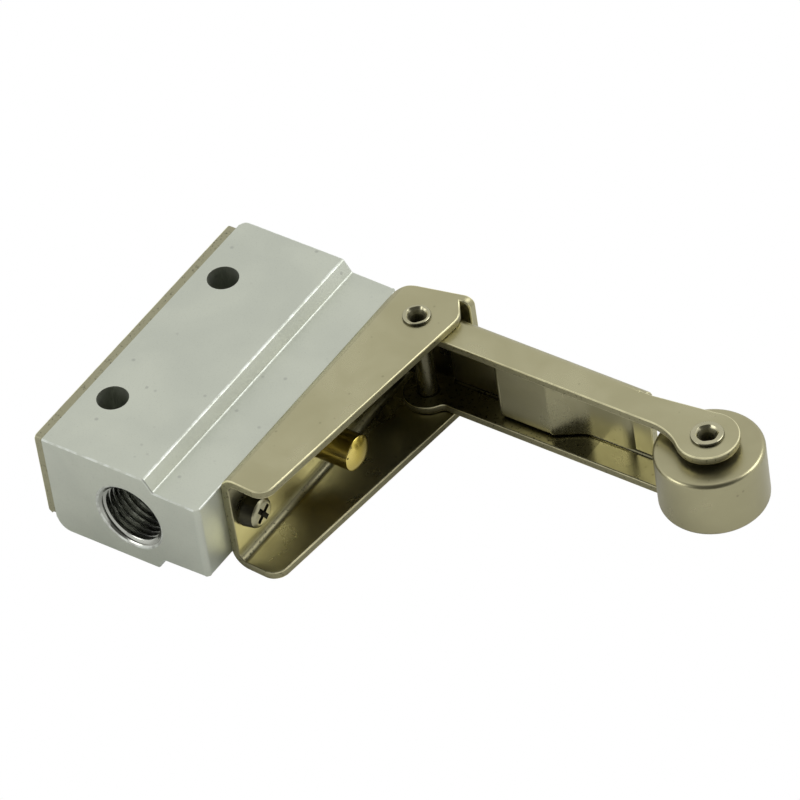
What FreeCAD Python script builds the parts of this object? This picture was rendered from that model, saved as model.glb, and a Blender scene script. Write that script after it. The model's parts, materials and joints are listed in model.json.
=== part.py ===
import FreeCAD, Part
import math
import os

os.makedirs("parts", exist_ok=True)

# Roller lever air valve, lying on its side. Millimetres, +Z up.
# Origin: midway between the two mounting holes, on the face they are bolted down on.
# +X runs along the body towards the lever's pivot, -Y points out of the bracket side.

# how far cutting shapes run past what they cut, and how closely points are matched
overrun = 5.0
same_place = 0.02
side_skin = 0.1
shortest_edge = 0.05

# mounting holes and body
mount_pitch = 25.0
mount_hole_radius = 2.15
mount_hole_from_back = 3.9
port_face_from_mount = 10.5
far_face_from_mount = 10.3
body_height = 16.0
step_height = 1.85
step_run = 1.2
step_length = 7.0
face_taper = 0.2
body_corner = 0.8
body_back_corner = 1.0
body_edge_round = 2.0

# ports at both ends
port_radius = 4.3
port_depth = 8.5
port_chamfer = 0.75
port_drop = 0.4
passage_radius = 1.3
drill_tip_radius = 0.4
drill_tip_length = 1.6

# plunger, its seals and the stack that holds them
plunger_radius = 2.47
plunger_dome = 0.8
plunger_waist_radius = 1.7
plunger_tail_radius = 1.9
plunger_stroke = 2.7
seal_thickness = 1.79
seal_gap = 0.02
seal_corner_share = 0.28
spacer_wall = 0.6
spacer_groove = 0.7
spacer_bore_gap = 0.15
spacer_hole_radius = 0.85
exhaust_spacer_length = 2.0
front_wall = 3.2
front_hole_gap = 0.55
cup_disc = 0.8
cup_bore_gap = 0.3
clip_thickness = 0.6
clip_radius = 3.2
clip_slot_half = 1.4
clip_slot_above = 0.6
tail_to_cover = 0.9
spring_wire_radius = 0.2
spring_turns = 3.0
wire_sides = 6
spring_solid_length = 1.5
running_gap = 0.05
assembly_gap = 0.02

# back cover
cover_thickness = 1.25
cover_lower_margin = 2.2
cover_far_margin = 1.4
cover_near_margin = 0.1
cover_round = 0.7
cover_screw_inset = 4.1
cover_screw_radius = 1.0
cover_screw_head_radius = 1.95
cover_screw_sunk = 0.05
cover_screw_length = 5.5
screw_tip_gap = 0.4

# bracket
sheet = 1.2
bend_radius = 2.4
stop_bend_radius = 4.2
bracket_side_gap = 0.1
bracket_start = 5.2
bracket_lip = 0.4
pivot_out = 6.4
edge_over_pivot_near = 0.85
edge_over_pivot_far = 5.1
flange_tip_past_pivot = 2.5
notch_over_pivot = 3.3
flange_corner_near = 2.2
flange_corner_far = 3.0
stop_over_pivot = 4.65
stop_corner = 1.3
bracket_hole_gap = 0.95
bracket_screw_from_plunger = 14.7
screw_radius = 1.25
screw_head_radius = 2.4
screw_head_height = 2.5
screw_head_bevel = 0.8
screw_hole_gap = 0.15
screw_depth = 6.0

# lever, roller and their pins
plunger_to_pivot = 18.2
open_angle = 12.0
close_angle = 89.5
lever_side_gap = 0.15
lever_edge = 1.35
lever_web = 4.1
lever_bend_radius = 1.7
lever_inner_radius = 0.5
lever_web_start = 2.2
lever_web_bevel = 1.2
neck_step = 1.2
neck_overlap = 1.0
ear_inset = 0.15
web_end_from_roller = 11.0
stop_gap = 0.1
boss_gap = 0.03
boss_half_flat = 4.0
boss_side_margin = 0.3
boss_slope = 4.0
boss_corner = 0.9
boss_edge_round = 0.5
boss_before_plunger = 2.9
boss_lead = 0.6
boss_end_thinning = 0.6
panel_rise = 0.4
panel_end_from_roller = 14.3
pivot_pin_radius = 1.35
pivot_head_radius = 1.9
pivot_bore_radius = 0.8
pivot_ear_radius = 3.4
pivot_ear_round = 1.0
roller_radius = 7.25
roller_side_gap = 0.95
roller_edge = 0.4
roller_end_gap = 0.17
roller_pin_radius = 1.5
roller_pin_head_radius = 2.2
roller_pin_bore_radius = 0.95
roller_ear_radius = 4.2
roller_ear_round = 8.0
head_height = 0.4
head_flare = 0.4
head_bevel = 0.2

# positions that follow from the sizes above
mid_z = body_height / 2
port_face_x = -mount_pitch / 2 - port_face_from_mount
far_face_x = mount_pitch / 2 + far_face_from_mount
bore_radius = plunger_radius + seal_thickness + 2 * seal_gap
seal_width = seal_thickness + seal_gap
spacer_length = 2 * passage_radius + 2 * spacer_wall
out_play = plunger_stroke * open_angle / close_angle + 2 * seal_gap
spring_length = plunger_stroke + spring_solid_length
cup_length = spring_length + clip_thickness + out_play + cup_disc

rear_seal_start = cup_length
inlet_spacer_start = rear_seal_start + seal_width
middle_seal_start = inlet_spacer_start + spacer_length
outlet_spacer_start = middle_seal_start + seal_width
front_seal_start = outlet_spacer_start + spacer_length
exhaust_spacer_start = front_seal_start + seal_width
bore_length = exhaust_spacer_start + exhaust_spacer_length
body_depth = bore_length + front_wall
port_depth_from_back = middle_seal_start + seal_width / 2
passage_offset = (seal_width + spacer_length) / 2
plateau_depth = body_depth - step_length - step_run

back_y = mount_hole_from_back
front_y = back_y - body_depth
pivot_y = front_y - pivot_out
pivot_x = plunger_to_pivot
tip_depth = body_depth + pivot_out + plunger_stroke - boss_gap

roller_reach = roller_radius + body_corner + roller_end_gap
roller_overhang = math.sqrt(roller_reach ** 2 - (pivot_out + body_corner) ** 2) - body_corner
lever_length = plunger_to_pivot - port_face_x + roller_overhang
roller_y = pivot_y - lever_length

bracket_half = mid_z - bracket_side_gap
lever_half = bracket_half - sheet - lever_side_gap
lever_inner_half = lever_half - sheet
roller_half = lever_inner_half - roller_side_gap
boss_half_height = lever_inner_half - boss_side_margin


def vector(x, y, z):
    return FreeCAD.Vector(x, y, z)


def depth_y(depth):
    """Y of a plane that lies this far in front of the body's back face."""
    return back_y - depth


def block(low, high):
    size = [b - a for a, b in zip(low, high)]
    return Part.makeBox(size[0], size[1], size[2], vector(*low))


def rod(radius, start, axis, length):
    return Part.makeCylinder(radius, length, vector(*start), vector(*axis))


def cone(radius_a, radius_b, start, axis, length):
    return Part.makeCone(radius_a, radius_b, length, vector(*start), vector(*axis))


def through_rod(radius, x, y):
    """Cylinder along Z that runs right through the part."""
    return rod(radius, (x, y, -overrun), (0, 0, 1), body_height + 2 * overrun)


def depth_rod(radius, start, end, x=0.0, z=None):
    """Cylinder along the plunger's direction between two depths from the back face."""
    height = mid_z if z is None else z
    return rod(radius, (x, depth_y(start), height), (0, -1, 0), end - start)


def depth_ring(outer, inner, start, end):
    return depth_rod(outer, start, end).cut(depth_rod(inner, start - overrun, end + overrun))


def prism_z(points, low, high):
    """Solid with the given outline seen from above."""
    corners = [vector(x, y, low) for x, y in points]
    face = Part.Face(Part.makePolygon(corners + corners[:1]))
    return face.extrude(vector(0, 0, high - low))


def prism_x(points, low, high):
    """Solid with the given (y, z) outline, drawn out along X."""
    corners = [vector(low, y, z) for y, z in points]
    face = Part.Face(Part.makePolygon(corners + corners[:1]))
    return face.extrude(vector(high - low, 0, 0))


def edges_where(shape, test):
    found = []
    for edge in shape.Edges:
        if edge.Length > shortest_edge and all(test(v.Point) for v in edge.Vertexes):
            middle = edge.valueAt((edge.FirstParameter + edge.LastParameter) / 2)
            if test(middle):
                found.append(edge)
    return found


def near(a, b, tolerance=same_place):
    return abs(a - b) < tolerance


def rounded(shape, radius, test):
    edges = edges_where(shape, test)
    return shape.makeFillet(radius, edges) if edges else shape


def chamfered(shape, size, test):
    return shape.makeChamfer(size, edges_where(shape, test))


def at_side(point, half):
    """True on the flat sides of a piece that reaches half above and below the middle."""
    return abs(point.z - mid_z) > half - side_skin


def upright_at(x, y):
    return lambda p: near(p.x, x) and near(p.y, y)


def one_solid(shape):
    clean = shape.removeSplitter()
    return clean.Solids[0] if len(clean.Solids) == 1 else clean


def save(name, shape):
    shape.exportStep("parts/" + name + ".step")


# The stepped body, drawn out along X, with its bore, ports, passages and screw holes.
def body_blank():
    low_plateau = [(back_y, 0), (depth_y(plateau_depth), 0), (depth_y(plateau_depth + step_run), step_height)]
    low_face = [(front_y, step_height + face_taper)]
    lower = low_plateau + low_face
    upper = [(y, body_height - z) for y, z in reversed(lower)]
    blank = prism_x(lower + upper, port_face_x, far_face_x)
    blank = rounded(blank, body_edge_round, lambda p: near(p.y, back_y) and near(p.z, 0))
    for x in (port_face_x, far_face_x):
        blank = rounded(blank, body_corner, upright_at(x, front_y))
    return rounded(blank, body_back_corner, upright_at(far_face_x, back_y))


def port_cut(face_x, inward):
    """Threaded port with its chamfer, bored into one end of the body."""
    y = depth_y(port_depth_from_back)
    z = mid_z - port_drop
    start = (face_x - inward * overrun, y, z)
    bore = rod(port_radius, start, (inward, 0, 0), port_depth + overrun)
    wide = port_radius + port_chamfer + overrun
    chamfer = cone(wide, port_radius, start, (inward, 0, 0), port_chamfer + overrun)
    point = (face_x + inward * port_depth, y, z)
    drill_tip = cone(port_radius, drill_tip_radius, point, (inward, 0, 0), drill_tip_length)
    return bore.fuse(chamfer).fuse(drill_tip)


def passage_cut(face_x, inward, shift):
    start = (face_x + inward * (port_depth - overrun), depth_y(port_depth_from_back + shift), mid_z)
    return rod(passage_radius, start, (inward, 0, 0), abs(face_x) - port_depth + overrun)


def bracket_screw_positions():
    return [-bracket_screw_from_plunger, bracket_screw_from_plunger]


def cover_screw_positions():
    return [port_face_x + cover_screw_inset, far_face_x - cover_screw_inset]


def make_valve_body():
    body = body_blank()
    for x in (-mount_pitch / 2, mount_pitch / 2):
        body = body.cut(through_rod(mount_hole_radius, x, 0))
    body = body.cut(depth_rod(bore_radius, -overrun, bore_length))
    body = body.cut(depth_rod(plunger_radius + front_hole_gap, bore_length - overrun, body_depth + overrun))
    body = body.cut(port_cut(port_face_x, 1)).cut(port_cut(far_face_x, -1))
    body = body.cut(passage_cut(port_face_x, 1, -passage_offset))
    body = body.cut(passage_cut(far_face_x, -1, passage_offset))
    for x in bracket_screw_positions():
        start = body_depth - screw_depth - screw_tip_gap
        body = body.cut(depth_rod(screw_radius + assembly_gap, start, body_depth + overrun, x))
    for x in cover_screw_positions():
        hole = depth_rod(cover_screw_radius + assembly_gap, -overrun, cover_screw_length, x, cover_mid_z())
        body = body.cut(hole)
    return one_solid(body)


def cover_mid_z():
    return (cover_lower_margin + body_height) / 2


# The steel plate over the back of the body, which shuts the bore and carries the spring.
def make_back_cover():
    low = (port_face_x + cover_near_margin, back_y, cover_lower_margin)
    high = (far_face_x - cover_far_margin, back_y + cover_thickness, body_height)
    plate = block(low, high)
    outer_y = back_y + cover_thickness
    plate = rounded(plate, cover_round, lambda p: near(p.y, outer_y) and near(p.z, cover_lower_margin))
    narrow = cover_screw_radius + 2 * assembly_gap
    sink_depth = cover_screw_head_radius - cover_screw_radius + cover_screw_sunk
    for x in cover_screw_positions():
        plate = plate.cut(depth_rod(narrow, -cover_thickness - overrun, overrun, x, cover_mid_z()))
        start = (x, outer_y, cover_mid_z())
        plate = plate.cut(cone(narrow + sink_depth, narrow, start, (0, -1, 0), sink_depth))
    return one_solid(plate)


def make_cover_screws():
    screws = []
    z = cover_mid_z()
    head_depth = cover_screw_head_radius - cover_screw_radius
    head_start = cover_screw_sunk - cover_thickness
    for x in cover_screw_positions():
        start = (x, depth_y(head_start), z)
        head = cone(cover_screw_head_radius, cover_screw_radius, start, (0, -1, 0), head_depth)
        tip = cover_screw_length - screw_tip_gap
        shank = depth_rod(cover_screw_radius, head_start + head_depth, tip, x, z)
        screws.append(one_solid(head.fuse(shank)))
    return Part.makeCompound(screws)


# The plunger: domed tip outside, a waist that lets air past a seal, and a grooved tail for the clip.
def make_plunger():
    tail_end = tail_to_cover + plunger_stroke
    clip_start = spring_length
    shape = depth_rod(plunger_radius, clip_start + clip_thickness, tip_depth - plunger_dome)
    shape = shape.fuse(depth_rod(plunger_tail_radius, tail_end, clip_start + clip_thickness))
    shape = shape.fuse(plunger_tip())
    waist_start = port_depth_from_back + seal_thickness / 3
    waist_end = front_seal_start + seal_width / 2 + plunger_stroke / 2
    waist = depth_ring(plunger_radius + overrun, plunger_waist_radius, waist_start, waist_end)
    return one_solid(shape.cut(waist))


def plunger_tip():
    """Flat spherical dome with the plunger's radius at its foot."""
    sphere_radius = (plunger_radius ** 2 + plunger_dome ** 2) / (2 * plunger_dome)
    centre = vector(0, depth_y(tip_depth - sphere_radius), mid_z)
    sphere = Part.makeSphere(sphere_radius, centre)
    return sphere.common(depth_rod(plunger_radius, tip_depth - plunger_dome, tip_depth + overrun))


def make_plunger_clip():
    start = spring_length
    end = spring_length + clip_thickness - assembly_gap
    clip = depth_ring(clip_radius, plunger_tail_radius + assembly_gap, start, end)
    low = (-clip_slot_half, depth_y(end) - overrun, mid_z - clip_radius - overrun)
    high = (clip_slot_half, depth_y(start) + overrun, mid_z - clip_slot_above)
    return one_solid(clip.cut(block(low, high)))


# Everything held in the bore, from the cover towards the bracket.
def make_spring_cup():
    outer = bore_radius - assembly_gap
    cup = depth_ring(outer, clip_radius + cup_bore_gap, 0, cup_length)
    disc = depth_ring(outer, plunger_radius + running_gap, cup_length - cup_disc, cup_length)
    return one_solid(cup.fuse(disc))


def make_return_spring():
    coil_radius = (clip_radius + plunger_tail_radius) / 2 + spring_wire_radius
    length = spring_length - 2 * spring_wire_radius - 2 * assembly_gap
    helix = Part.makeHelix(length / spring_turns, length, coil_radius)
    section = []
    for corner in range(wire_sides + 1):
        angle = 2 * math.pi * corner / wire_sides
        across = spring_wire_radius * math.cos(angle)
        section.append(vector(coil_radius + across, 0, spring_wire_radius * math.sin(angle)))
    coil = Part.Wire(helix).makePipeShell([Part.makePolygon(section)], True, True)
    coil.rotate(vector(0, 0, 0), vector(1, 0, 0), 90)
    coil.translate(vector(0, depth_y(spring_wire_radius + assembly_gap), mid_z))
    return coil


def make_seal_ring(start):
    """Moulded ring of square section with its four edges cut off."""
    inner = plunger_radius + seal_gap
    outer = inner + seal_thickness
    near_end = start + seal_gap / 2
    far_end = near_end + seal_thickness
    cut = seal_thickness * seal_corner_share
    profile = [
        (inner + cut, near_end), (outer - cut, near_end), (outer, near_end + cut), (outer, far_end - cut),
        (outer - cut, far_end), (inner + cut, far_end), (inner, far_end - cut), (inner, near_end + cut),
    ]
    corners = [vector(radius, depth_y(depth), mid_z) for radius, depth in profile]
    face = Part.Face(Part.makePolygon(corners + corners[:1]))
    return one_solid(face.revolve(vector(0, 0, mid_z), vector(0, 1, 0), 360))


def make_port_spacer(start):
    """Ring between two seals, waisted outside and drilled so that air reaches the plunger."""
    end = start + spacer_length
    outer = bore_radius - assembly_gap
    ring = depth_ring(outer, plunger_radius + spacer_bore_gap, start, end)
    groove = depth_ring(outer + overrun, outer - spacer_groove, start + spacer_wall, end - spacer_wall)
    ring = ring.cut(groove)
    middle = depth_y((start + end) / 2)
    for axis in ((1, 0, 0), (0, 0, 1)):
        origin = [v - 2 * outer * a for v, a in zip((0, middle, mid_z), axis)]
        ring = ring.cut(rod(spacer_hole_radius, origin, axis, 4 * outer))
    return one_solid(ring)


def make_exhaust_spacer():
    outer = bore_radius - assembly_gap
    end = exhaust_spacer_start + exhaust_spacer_length
    ring = depth_ring(outer, plunger_radius + front_hole_gap, exhaust_spacer_start, end)
    return one_solid(ring)


# The folded bracket: base on the body, two flanges and the leaning stop at the far end.
def stop_line(offset, out):
    """X of the stop's inner face, moved outwards by offset, at this distance from the body."""
    lean = math.radians(open_angle)
    distance = lever_web + stop_gap + offset
    return pivot_x + (distance + (out - pivot_out) * math.sin(lean)) / math.cos(lean)


def bracket_blank():
    near_x = port_face_x + bracket_start
    top = pivot_out + stop_over_pivot
    notch = pivot_out + notch_over_pivot
    outline = [
        (near_x, 0), (stop_line(sheet, 0), 0), (stop_line(sheet, top), top), (stop_line(0, top), top),
        (stop_line(0, notch), notch), (pivot_x + flange_tip_past_pivot, pivot_out + edge_over_pivot_far),
        (near_x - bracket_lip, pivot_out + edge_over_pivot_near),
    ]
    points = [(x, front_y - out) for x, out in outline]
    blank = prism_z(points, mid_z - bracket_half, mid_z + bracket_half)
    far = points[5]
    blank = rounded(blank, flange_corner_far, upright_at(*far))
    close = points[6]
    blank = rounded(blank, flange_corner_near, upright_at(*close))
    foot = points[1]
    blank = rounded(blank, stop_bend_radius, upright_at(*foot))
    tip_y = points[2][1]
    blank = rounded(blank, stop_corner, lambda p: near(p.y, tip_y) and at_side(p, bracket_half))
    return blank.common(bent_strip(near_x - overrun, top + overrun))


def bent_strip(start_x, reach):
    """Block with the two long bends between the bracket's base and its flanges."""
    low = (start_x, front_y - reach, mid_z - bracket_half)
    high = (far_face_x + overrun, front_y, mid_z + bracket_half)
    strip = block(low, high)
    return rounded(strip, bend_radius, lambda p: near(p.y, front_y) and at_side(p, bracket_half))


def bracket_hollow():
    """The room inside the channel, open at the port end and on the outer side."""
    top = pivot_out + stop_over_pivot + overrun
    near_x = port_face_x + bracket_start - overrun
    half = bracket_half - sheet
    outline = [(near_x, sheet), (stop_line(0, sheet), sheet), (stop_line(0, top), top), (near_x, top)]
    points = [(x, front_y - out) for x, out in outline]
    hollow = prism_z(points, mid_z - half, mid_z + half)
    hollow = rounded(hollow, stop_bend_radius - sheet, upright_at(*points[1]))
    foot_y = front_y - sheet
    strip = block((near_x, front_y - top, mid_z - half), (far_face_x + overrun, foot_y, mid_z + half))
    strip = rounded(strip, bend_radius - sheet, lambda p: near(p.y, foot_y) and at_side(p, half))
    return hollow.common(strip)


def make_bracket():
    bracket = bracket_blank().cut(bracket_hollow())
    hole = plunger_radius + bracket_hole_gap
    bracket = bracket.cut(depth_rod(hole, body_depth - overrun, body_depth + overrun))
    for x in bracket_screw_positions():
        hole = depth_rod(screw_radius + screw_hole_gap, body_depth - overrun, body_depth + overrun, x)
        bracket = bracket.cut(hole)
    return one_solid(bracket.cut(through_rod(pivot_pin_radius + assembly_gap, pivot_x, pivot_y)))


def make_bracket_screws():
    screws = []
    for x in bracket_screw_positions():
        seat = body_depth + sheet
        shank = depth_rod(screw_radius, body_depth - screw_depth, seat, x)
        head = depth_rod(screw_head_radius, seat, seat + screw_head_height, x)
        rim_y = depth_y(seat + screw_head_height)
        head = chamfered(head, screw_head_bevel, lambda p, y=rim_y: near(p.y, y))
        screws.append(one_solid(shank.fuse(head)))
    return Part.makeCompound(screws)


def make_pin(place, radius, half_length, head_radius, pin_bore):
    """Hollow rivet along Z with a rolled head at each end."""
    x, y = place
    full = half_length + head_height
    pin = rod(radius, (x, y, mid_z - full), (0, 0, 1), 2 * full)
    for side in (-1, 1):
        seat = (x, y, mid_z + side * half_length)
        head = rod(head_radius, seat, (0, 0, side), head_height)
        rim_z = mid_z + side * full
        head = chamfered(head, head_bevel, lambda p, z=rim_z: near(p.z, z))
        pin = pin.fuse(head)
    pin = pin.cut(through_rod(pin_bore, x, y))
    for side in (-1, 1):
        mouth = (x, y, mid_z + side * (full + overrun))
        wide = pin_bore + head_flare + overrun
        pin = pin.cut(cone(wide, pin_bore, mouth, (0, 0, -side), head_flare + overrun))
    return one_solid(pin)


def make_pivot_pin():
    place = (pivot_x, pivot_y)
    return make_pin(place, pivot_pin_radius, bracket_half, pivot_head_radius, pivot_bore_radius)


def make_roller_pin():
    place = (pivot_x, roller_y)
    return make_pin(place, roller_pin_radius, lever_half, roller_pin_head_radius, roller_pin_bore_radius)


# The lever: a folded channel with rounded ears at both ends and a pressed boss over the plunger.
def lever_points(pairs):
    """Turns (across, along) sizes into plan positions; along runs from the pivot to the roller."""
    return [(pivot_x + across, pivot_y - along) for across, along in pairs]


def lever_outer():
    low = mid_z - lever_half
    high = mid_z + lever_half
    web_end = lever_length - web_end_from_roller
    edge = -lever_edge
    channel = prism_z(lever_points([
        (edge, 0), (lever_web - lever_web_bevel, 0), (lever_web, lever_web_start),
        (lever_web, web_end), (edge, web_end),
    ]), low, high)
    web_x = pivot_x + lever_web
    channel = rounded(channel, lever_bend_radius, lambda p: near(p.x, web_x) and at_side(p, lever_half))
    neck = lever_web - neck_step
    ear = prism_z(lever_points([
        (edge, web_end - neck_overlap), (neck, web_end - neck_overlap), (neck, web_end + neck_overlap),
        (roller_ear_radius - ear_inset, lever_length - neck_overlap), (edge, lever_length),
    ]), low, high)
    pivot_ear = rod(pivot_ear_radius, (pivot_x, pivot_y, low), (0, 0, 1), high - low)
    roller_ear = rod(roller_ear_radius, (pivot_x, roller_y, low), (0, 0, 1), high - low)
    shape = channel.fuse([ear, pivot_ear, roller_ear]).removeSplitter()
    along = lever_length - math.sqrt(roller_ear_radius ** 2 - lever_edge ** 2)
    shape = rounded(shape, roller_ear_round, upright_at(pivot_x + edge, pivot_y - along))
    along = math.sqrt(pivot_ear_radius ** 2 - lever_edge ** 2)
    return rounded(shape, pivot_ear_round, upright_at(pivot_x + edge, pivot_y - along))


def boss_shape(offset, half_height):
    """The pressed boss and the low panel after it, or with an offset the hollow behind them."""
    middle = plunger_to_pivot - boss_before_plunger
    start = middle - boss_half_flat + offset
    end = middle + boss_half_flat - offset * boss_end_thinning
    back = lever_web - sheet + offset
    panel = back - panel_rise
    panel_end = lever_length - panel_end_from_roller - offset
    outline = lever_points([
        (back, start - boss_lead), (offset, start), (offset, end), (panel, end + boss_slope),
        (panel, panel_end), (back, panel_end + panel_rise),
    ])
    solid = prism_z(outline, mid_z - half_height, mid_z + half_height)
    face_x = pivot_x + offset
    start_y = pivot_y - start
    lead = boss_lead + side_skin
    low_corner = rounded(solid, boss_corner, lambda p: near(p.y, start_y, lead) and at_side(p, half_height))
    return rounded(low_corner, boss_edge_round, lambda p: near(p.x, face_x))


def make_lever():
    outer = lever_outer()
    inner_low = mid_z - lever_inner_half
    inner_high = mid_z + lever_inner_half
    reach = roller_ear_radius + overrun
    floor_x = pivot_x + lever_web - sheet
    room = block((pivot_x - reach, roller_y - reach, inner_low), (floor_x, pivot_y + reach, inner_high))
    room = rounded(room, lever_inner_radius, lambda p: near(p.x, floor_x) and at_side(p, lever_inner_half))
    web_end_y = pivot_y - lever_length + web_end_from_roller
    beyond = block((pivot_x - reach, roller_y - reach, inner_low), (pivot_x + reach, web_end_y, inner_high))
    web_start_y = pivot_y - lever_web_start
    before = block((pivot_x - reach, web_start_y, inner_low), (pivot_x + reach, pivot_y + reach, inner_high))
    lever = outer.cut(room).cut(beyond).cut(before)
    lever = lever.fuse(boss_shape(0, boss_half_height))
    lever = lever.cut(boss_shape(sheet, boss_half_height - sheet))
    lever = lever.cut(through_rod(pivot_pin_radius + running_gap, pivot_x, pivot_y))
    lever = lever.cut(through_rod(roller_pin_radius + assembly_gap, pivot_x, roller_y))
    return one_solid(lever)


def make_roller():
    roller = rod(roller_radius, (pivot_x, roller_y, mid_z - roller_half), (0, 0, 1), 2 * roller_half)
    roller = chamfered(roller, roller_edge, lambda p: at_side(p, roller_half))
    return roller.cut(through_rod(roller_pin_radius + running_gap, pivot_x, roller_y))


save("valve_body", make_valve_body())
save("back_cover", make_back_cover())
save("cover_screws", make_cover_screws())
save("spring_cup", make_spring_cup())
save("return_spring", make_return_spring())
save("rear_seal_ring", make_seal_ring(rear_seal_start))
save("middle_seal_ring", make_seal_ring(middle_seal_start))
save("front_seal_ring", make_seal_ring(front_seal_start))
save("inlet_spacer", make_port_spacer(inlet_spacer_start))
save("outlet_spacer", make_port_spacer(outlet_spacer_start))
save("exhaust_spacer", make_exhaust_spacer())
save("plunger", make_plunger())
save("plunger_clip", make_plunger_clip())
save("bracket", make_bracket())
save("bracket_screws", make_bracket_screws())
save("pivot_pin", make_pivot_pin())
save("lever", make_lever())
save("roller", make_roller())
save("roller_pin", make_roller_pin())
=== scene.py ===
import json
import math

import bmesh
import bpy
from mathutils import Matrix, Vector, noise


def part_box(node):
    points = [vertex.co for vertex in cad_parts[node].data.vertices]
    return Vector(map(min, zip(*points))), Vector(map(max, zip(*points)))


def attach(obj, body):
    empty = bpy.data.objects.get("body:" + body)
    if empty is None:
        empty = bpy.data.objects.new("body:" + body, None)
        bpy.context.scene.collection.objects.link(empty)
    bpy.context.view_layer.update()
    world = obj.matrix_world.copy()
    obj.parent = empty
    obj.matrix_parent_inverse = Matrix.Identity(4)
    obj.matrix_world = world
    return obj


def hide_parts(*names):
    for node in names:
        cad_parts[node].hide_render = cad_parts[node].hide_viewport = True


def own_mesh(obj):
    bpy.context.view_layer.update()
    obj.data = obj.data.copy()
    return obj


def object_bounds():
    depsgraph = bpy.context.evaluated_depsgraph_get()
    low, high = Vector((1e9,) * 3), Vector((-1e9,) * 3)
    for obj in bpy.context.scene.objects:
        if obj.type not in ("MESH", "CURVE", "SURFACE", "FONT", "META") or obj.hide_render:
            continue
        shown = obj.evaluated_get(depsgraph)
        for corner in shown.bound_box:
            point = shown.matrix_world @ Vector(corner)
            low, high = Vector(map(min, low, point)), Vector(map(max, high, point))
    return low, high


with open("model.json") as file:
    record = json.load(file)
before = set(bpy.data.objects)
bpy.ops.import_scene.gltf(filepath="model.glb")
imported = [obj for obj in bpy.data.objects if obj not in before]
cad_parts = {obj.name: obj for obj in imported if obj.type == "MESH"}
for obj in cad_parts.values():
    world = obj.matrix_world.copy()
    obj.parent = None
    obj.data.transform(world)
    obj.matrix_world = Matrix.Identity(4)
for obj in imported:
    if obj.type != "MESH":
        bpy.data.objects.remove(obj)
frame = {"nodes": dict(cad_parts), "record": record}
cad_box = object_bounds()

MM = 0.001
record = frame["record"]
joints = {joint["name"]: joint for joint in record["behaviour"]["joints"]}
mounts = {mount["name"]: mount for mount in record["mounts"]}

# camera, found by matching the valve's edges
camera_place = Vector((-556.5, -509.9, 723.9)) * MM
camera_aim = Vector((5.8, -32.2, 14.1)) * MM
camera_roll = math.radians(-9.19)
camera_lens = 360.0

# share of light that comes up through the floor, as on a light table
floor_glow = 0.1
floor_reach = 1.6
floor_gap = 0.02 * MM

# studio, darker towards the camera between these cosines of the angle to it
sky_strength = 0.88
dark_from = 0.35
dark_at = 0.9

# how meshes are welded, flattened and shaded
weld_distance = 0.002 * MM
flat_angle = math.radians(0.4)
sharp_angle = math.radians(32)
crisp_angle = math.radians(20)
flat_area = 20 * MM * MM
on_side = 0.02 * MM

# broken edges and rounded corners
body_edge = 0.2 * MM
corner_fillet = 0.12 * MM
# painted highlight on the long inward corners
corner_highlight = 0.6
long_corner = 20 * MM
hole_rim = 0.4 * MM
sheet_edge = 0.17 * MM
cover_edge = 0.12 * MM
cover_corner = 0.6 * MM
turned_edge = 0.06 * MM

# sheet metal: a face on a fold leans between these shares of its normal along Z
sheet_thickness = 1.2 * MM
least_lean = 0.15
most_lean = 0.97
fold_area = 30 * MM * MM
fold_wear = 0.45
square_end = 0.6 * MM
crease_least = math.radians(5)
crease_most = math.radians(60)
crease_length = 3.0 * MM
crease_width = 1.1 * MM

# painted shade in the fold above a low flange
shade_below = 0.1 * MM
shade_height = 1.4 * MM
fold_height = 0.6 * MM
bracket_fold_shade = 0.42
lever_fold_shade = 0.9

# painted shade on the lever's low flange, standing in for the roller's dark reflection, by distance from the
# roller's axis
shade_end = 9.0 * MM
bright_from = 11.0 * MM
bright_to = 19.0 * MM
faint_flange_shade = 0.03
deep_flange_shade = 0.5

# the bracket's port end, whose edges get less abrasion and painted highlight
dull_end = 0.4 * MM
dull_end_wear_and_highlight = 0.2

# pipe thread in both ports
thread_pitch = 0.907 * MM
thread_depth = 0.56 * MM
thread_foot = 0.36 * MM
thread_crest = 0.05 * MM
thread_overlap = 0.1 * MM
thread_lead_in = 0.3 * MM
thread_steps = 64
thread_run_out = 0.6 * MM
thread_least = 0.02
port_mouth = 0.01 * MM
port_depth = 11.0 * MM
port_reach = 5.2 * MM

# roller
roller_bore_radius = 1.55 * MM
roller_rim = 0.65 * MM
roller_chamfer = 0.15 * MM

# rivets
lip_start = 0.2 * MM
lip_waves = 1.6
lip_depth = 0.16 * MM
# painted shade on the rivet heads' side walls; the shank is darkened a little
shank_darkening = 0.3
head_side_shade = 0.85
head_side = 0.2 * MM
bore_wall = 0.1 * MM
reamed_wall = 0.25 * MM

# screws
screw_head_height = 2.5 * MM
bracket_screw_shank = 1.25 * MM
cover_screw_shank = 1.0 * MM
screw_tip = 0.2 * MM

# cross recesses in the screw heads; the cutter's ends as shares of reach and width
recess_reach = 1.35 * MM
recess_width = 0.72 * MM
recess_depth = 1.2 * MM
recess_over = 0.4 * MM
recess_open = (1.25, 0.56)
recess_bottom = (0.45, 0.36)
# painted shade in the cross recess
recess_shade = 0.8

# plunger and return spring
# painted shade on the plunger's turned side
plunger_side_shade = 0.4
spring_wire = 0.2 * MM
spring_turns = 3.0


# meshes that start from the frame's solids

def joined_solid(node):
    """A node's loose triangles, welded and dissolved into flat faces."""
    shape = bmesh.new()
    shape.from_mesh(frame["nodes"][node].data)
    bmesh.ops.remove_doubles(shape, verts=shape.verts, dist=weld_distance)
    bmesh.ops.dissolve_limit(shape, angle_limit=flat_angle, verts=shape.verts, edges=shape.edges)
    shape.normal_update()
    return shape


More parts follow.
